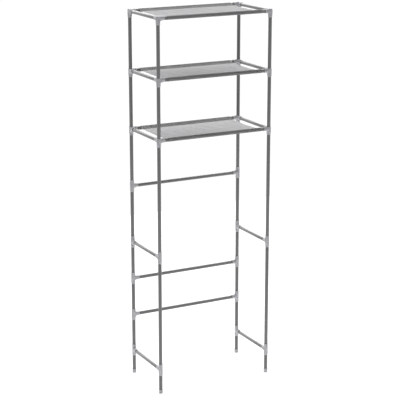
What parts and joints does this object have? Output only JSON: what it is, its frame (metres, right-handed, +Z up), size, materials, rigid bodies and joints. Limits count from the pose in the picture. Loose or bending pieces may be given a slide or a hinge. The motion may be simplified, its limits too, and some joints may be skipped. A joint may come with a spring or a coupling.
{
  "type": "over the toilet storage rack",
  "caption": "Free-standing tube rack that stands over a toilet: fabric shelves in its top half, an open lower half, and tie tubes across its back and sides.",
  "frame": {"origin": "on the floor, in the middle of the rack's footprint", "axes": "+Z up, +X to the right seen from the open front, +Y to the back, where the back tubes and the wall are"},
  "size_m": [0.565, 0.3, 1.695],
  "materials": {
    "painted_steel": "satin silver-grey coating on thin-walled steel tube",
    "moulded_plastic": "light grey injection-moulded plastic with a fine satin surface",
    "shelf_fabric": "mid grey non-woven fabric with sewn hems"
  },
  "bodies": {
    "root": {"lower_post_front_left": "painted_steel", "lower_post_front_right": "painted_steel", "lower_post_back_right": "painted_steel", "lower_post_back_left": "painted_steel", "upper_post_front_left": "painted_steel", "upper_post_front_right": "painted_steel", "upper_post_back_right": "painted_steel", "upper_post_back_left": "painted_steel", "foot_front_left": "moulded_plastic", "foot_front_right": "moulded_plastic", "foot_back_right": "moulded_plastic", "foot_back_left": "moulded_plastic", "lower_shelf_corner_front_left": "moulded_plastic", "lower_shelf_corner_front_right": "moulded_plastic", "lower_shelf_corner_back_right": "moulded_plastic", "lower_shelf_corner_back_left": "moulded_plastic", "lower_shelf_front_tube": "painted_steel", "lower_shelf_back_tube": "painted_steel", "lower_shelf_left_tube": "painted_steel", "lower_shelf_right_tube": "painted_steel", "lower_shelf_fabric": "shelf_fabric", "middle_shelf_corner_front_left": "moulded_plastic", "middle_shelf_corner_front_right": "moulded_plastic", "middle_shelf_corner_back_right": "moulded_plastic", "middle_shelf_corner_back_left": "moulded_plastic", "middle_shelf_front_tube": "painted_steel", "middle_shelf_back_tube": "painted_steel", "middle_shelf_left_tube": "painted_steel", "middle_shelf_right_tube": "painted_steel", "middle_shelf_fabric": "shelf_fabric", "upper_shelf_corner_front_left": "moulded_plastic", "upper_shelf_corner_front_right": "moulded_plastic", "upper_shelf_corner_back_right": "moulded_plastic", "upper_shelf_corner_back_left": "moulded_plastic", "upper_shelf_front_tube": "painted_steel", "upper_shelf_back_tube": "painted_steel", "upper_shelf_left_tube": "painted_steel", "upper_shelf_right_tube": "painted_steel", "upper_shelf_fabric": "shelf_fabric", "base_tee_front_left": "moulded_plastic", "base_tee_front_right": "moulded_plastic", "base_tee_back_right": "moulded_plastic", "base_tee_back_left": "moulded_plastic", "base_tube_left": "painted_steel", "base_tube_right": "painted_steel", "middle_tee_front_left": "moulded_plastic", "middle_tee_front_right": "moulded_plastic", "middle_tee_back_right": "moulded_plastic", "middle_tee_back_left": "moulded_plastic", "middle_tube_left": "painted_steel", "middle_tube_right": "painted_steel", "low_back_tee_left": "moulded_plastic", "low_back_tee_right": "moulded_plastic", "low_back_tube": "painted_steel", "mid_back_tee_left": "moulded_plastic", "mid_back_tee_right": "moulded_plastic", "mid_back_tube": "painted_steel", "high_back_tee_left": "moulded_plastic", "high_back_tee_right": "moulded_plastic", "high_back_tube": "painted_steel"}
  },
  "joints": []
}
